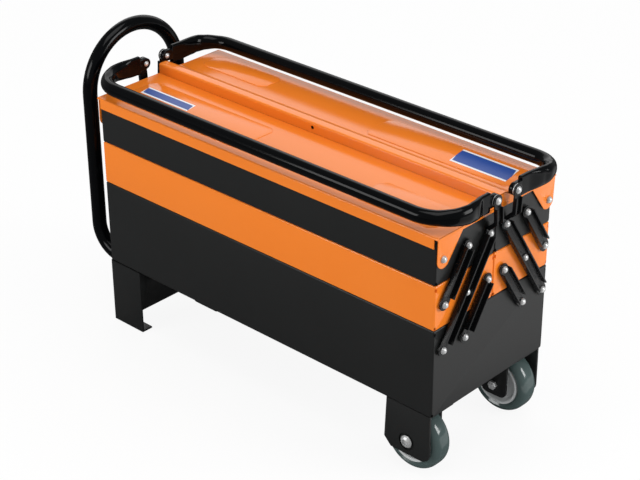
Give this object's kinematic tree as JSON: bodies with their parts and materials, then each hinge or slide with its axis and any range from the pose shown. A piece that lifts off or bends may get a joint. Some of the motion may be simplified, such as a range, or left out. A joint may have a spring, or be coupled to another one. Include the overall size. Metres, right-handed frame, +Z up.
{
  "type": "cantilever tool box",
  "caption": "Wheeled cantilever tool box: trays swing out on link arms, hinged lids, bail handles over the lids, and an upright push handle at one end.",
  "frame": {"origin": "on the floor, under the middle of the whole outline", "axes": "+X along the box towards the wheels, +Y to the rear, +Z up"},
  "size_m": [0.5743, 0.205, 0.3527],
  "materials": {
    "black_paint": "gloss black powder coat",
    "orange_paint": "satin orange powder coat",
    "bright_zinc": "bright zinc plated steel",
    "wheel_grey": "grey moulded plastic",
    "tyre_rubber": "dark grey rubber",
    "label_print": null
  },
  "bodies": {
    "base": {"bottom_box": "black_paint", "box_rivets": "bright_zinc", "foot_bracket": "black_paint", "foot_bolts": "bright_zinc", "foot_nuts": "bright_zinc", "push_handle": "black_paint", "tube_clamps": "black_paint", "clamp_rivets": "bright_zinc", "front_fork": "black_paint", "rear_fork": "black_paint", "fork_bolts": "bright_zinc", "fork_nuts": "bright_zinc", "front_axle_bolt": "bright_zinc", "front_axle_nut": "bright_zinc", "rear_axle_bolt": "bright_zinc", "rear_axle_nut": "bright_zinc"},
    "front_long_arms": {"front_long_arm_left": "black_paint", "front_long_arm_right": "black_paint"},
    "front_lower_links": {"front_lower_link_left": "black_paint", "front_lower_link_right": "black_paint"},
    "front_upper_links": {"front_upper_link_left": "black_paint", "front_upper_link_right": "black_paint"},
    "front_middle_stage": {"front_middle_tray": "orange_paint", "front_middle_rivets": "bright_zinc"},
    "front_top_stage": {"front_top_tray": "black_paint", "front_top_rivets": "bright_zinc"},
    "front_lid_body": {"front_lid": "orange_paint", "front_label": "label_print"},
    "front_handle_pivots": {"front_handle_rivets": "bright_zinc"},
    "front_handle_spacers": {"front_handle_washers": "bright_zinc"},
    "front_bail": {"front_handle": "black_paint"},
    "front_wheel": {"front_wheel_hub": "wheel_grey", "front_wheel_tyre": "tyre_rubber", "front_wheel_bush": "bright_zinc"},
    "rear_long_arms": {"rear_long_arm_left": "black_paint", "rear_long_arm_right": "black_paint"},
    "rear_lower_links": {"rear_lower_link_left": "black_paint", "rear_lower_link_right": "black_paint"},
    "rear_upper_links": {"rear_upper_link_left": "black_paint", "rear_upper_link_right": "black_paint"},
    "rear_middle_stage": {"rear_middle_tray": "orange_paint", "rear_middle_rivets": "bright_zinc"},
    "rear_top_stage": {"rear_top_tray": "black_paint", "rear_top_rivets": "bright_zinc"},
    "rear_lid_body": {"rear_lid": "orange_paint", "rear_label": "label_print"},
    "rear_handle_pivots": {"rear_handle_rivets": "bright_zinc"},
    "rear_handle_spacers": {"rear_handle_washers": "bright_zinc"},
    "rear_bail": {"rear_handle": "black_paint"},
    "rear_wheel": {"rear_wheel_hub": "wheel_grey", "rear_wheel_tyre": "tyre_rubber", "rear_wheel_bush": "bright_zinc"}
  },
  "joints": [
    {"name": "front_opening", "type": "hinge", "parent": "base", "child": "front_long_arms", "pos_m": [0.0188, -0.0835, 0.1622], "axis": [1, 0, 0], "range_deg": [0, 65]},
    {"name": "front_lower_link_turn", "type": "hinge", "parent": "base", "child": "front_lower_links", "pos_m": [0.0188, -0.0485, 0.1622], "axis": [1, 0, 0], "range_deg": [0, 65]},
    {"name": "front_middle_tray_turn", "type": "hinge", "parent": "front_long_arms", "child": "front_middle_stage", "pos_m": [0.0188, -0.0485, 0.2159], "axis": [-1, 0, 0], "range_deg": [0, 65]},
    {"name": "front_upper_link_turn", "type": "hinge", "parent": "front_middle_stage", "child": "front_upper_links", "pos_m": [0.0188, -0.0835, 0.2159], "axis": [1, 0, 0], "range_deg": [0, 65]},
    {"name": "front_top_tray_turn", "type": "hinge", "parent": "front_long_arms", "child": "front_top_stage", "pos_m": [0.0188, -0.0135, 0.2696], "axis": [-1, 0, 0], "range_deg": [0, 65]},
    {"name": "front_lid_open", "type": "hinge", "parent": "front_top_stage", "child": "front_lid_body", "pos_m": [0.0188, -0.0867, 0.269], "axis": [1, 0, 0], "range_deg": [0, 95]},
    {"name": "front_handle_carry", "type": "hinge", "parent": "front_long_arms", "child": "front_handle_pivots", "pos_m": [0.0188, -0.0165, 0.3105], "axis": [-1, 0, 0], "range_deg": [0, 81.25]},
    {"name": "front_handle_clear", "type": "hinge", "parent": "front_handle_pivots", "child": "front_handle_spacers", "pos_m": [0.0188, -0.0165, 0.3105], "axis": [-1, 0, 0], "range_deg": [0, 135]},
    {"name": "front_handle_swing", "type": "hinge", "parent": "front_handle_spacers", "child": "front_bail", "pos_m": [0.0188, -0.0165, 0.3105], "axis": [1, 0, 0], "range_deg": [-94, 0]},
    {"name": "front_wheel_spin", "type": "hinge", "parent": "base", "child": "front_wheel", "pos_m": [0.2351, -0.0746, 0.0375], "axis": [0, 1, 0], "continuous": true},
    {"name": "rear_opening", "type": "hinge", "parent": "base", "child": "rear_long_arms", "pos_m": [0.0188, 0.0835, 0.1622], "axis": [-1, 0, 0], "range_deg": [0, 65]},
    {"name": "rear_lower_link_turn", "type": "hinge", "parent": "base", "child": "rear_lower_links", "pos_m": [0.0188, 0.0485, 0.1622], "axis": [-1, 0, 0], "range_deg": [0, 65]},
    {"name": "rear_middle_tray_turn", "type": "hinge", "parent": "rear_long_arms", "child": "rear_middle_stage", "pos_m": [0.0188, 0.0485, 0.2159], "axis": [1, 0, 0], "range_deg": [0, 65]},
    {"name": "rear_upper_link_turn", "type": "hinge", "parent": "rear_middle_stage", "child": "rear_upper_links", "pos_m": [0.0188, 0.0835, 0.2159], "axis": [-1, 0, 0], "range_deg": [0, 65]},
    {"name": "rear_top_tray_turn", "type": "hinge", "parent": "rear_long_arms", "child": "rear_top_stage", "pos_m": [0.0188, 0.0135, 0.2696], "axis": [1, 0, 0], "range_deg": [0, 65]},
    {"name": "rear_lid_open", "type": "hinge", "parent": "rear_top_stage", "child": "rear_lid_body", "pos_m": [0.0188, 0.0867, 0.269], "axis": [-1, 0, 0], "range_deg": [0, 95]},
    {"name": "rear_handle_carry", "type": "hinge", "parent": "rear_long_arms", "child": "rear_handle_pivots", "pos_m": [0.0188, 0.0165, 0.3105], "axis": [1, 0, 0], "range_deg": [0, 81.25]},
    {"name": "rear_handle_clear", "type": "hinge", "parent": "rear_handle_pivots", "child": "rear_handle_spacers", "pos_m": [0.0188, 0.0165, 0.3105], "axis": [1, 0, 0], "range_deg": [0, 138]},
    {"name": "rear_handle_swing", "type": "hinge", "parent": "rear_handle_spacers", "child": "rear_bail", "pos_m": [0.0188, 0.0165, 0.3105], "axis": [-1, 0, 0], "range_deg": [-96, 0]},
    {"name": "rear_wheel_spin", "type": "hinge", "parent": "base", "child": "rear_wheel", "pos_m": [0.2351, 0.0746, 0.0375], "axis": [0, 1, 0], "continuous": true}
  ],
  "couplings": [
    {"joint": "front_lower_link_turn", "follows": "front_opening", "ratio": 1},
    {"joint": "front_middle_tray_turn", "follows": "front_opening", "ratio": 1},
    {"joint": "front_upper_link_turn", "follows": "front_opening", "ratio": 1},
    {"joint": "front_top_tray_turn", "follows": "front_opening", "ratio": 1},
    {"joint": "front_handle_carry", "follows": "front_opening", "ratio": 1.25},
    {"joint": "front_handle_clear", "follows": "front_lid_open", "ratio": 1.421},
    {"joint": "rear_lower_link_turn", "follows": "rear_opening", "ratio": 1},
    {"joint": "rear_middle_tray_turn", "follows": "rear_opening", "ratio": 1},
    {"joint": "rear_upper_link_turn", "follows": "rear_opening", "ratio": 1},
    {"joint": "rear_top_tray_turn", "follows": "rear_opening", "ratio": 1},
    {"joint": "rear_handle_carry", "follows": "rear_opening", "ratio": 1.25},
    {"joint": "rear_handle_clear", "follows": "rear_lid_open", "ratio": 1.4526}
  ]
}
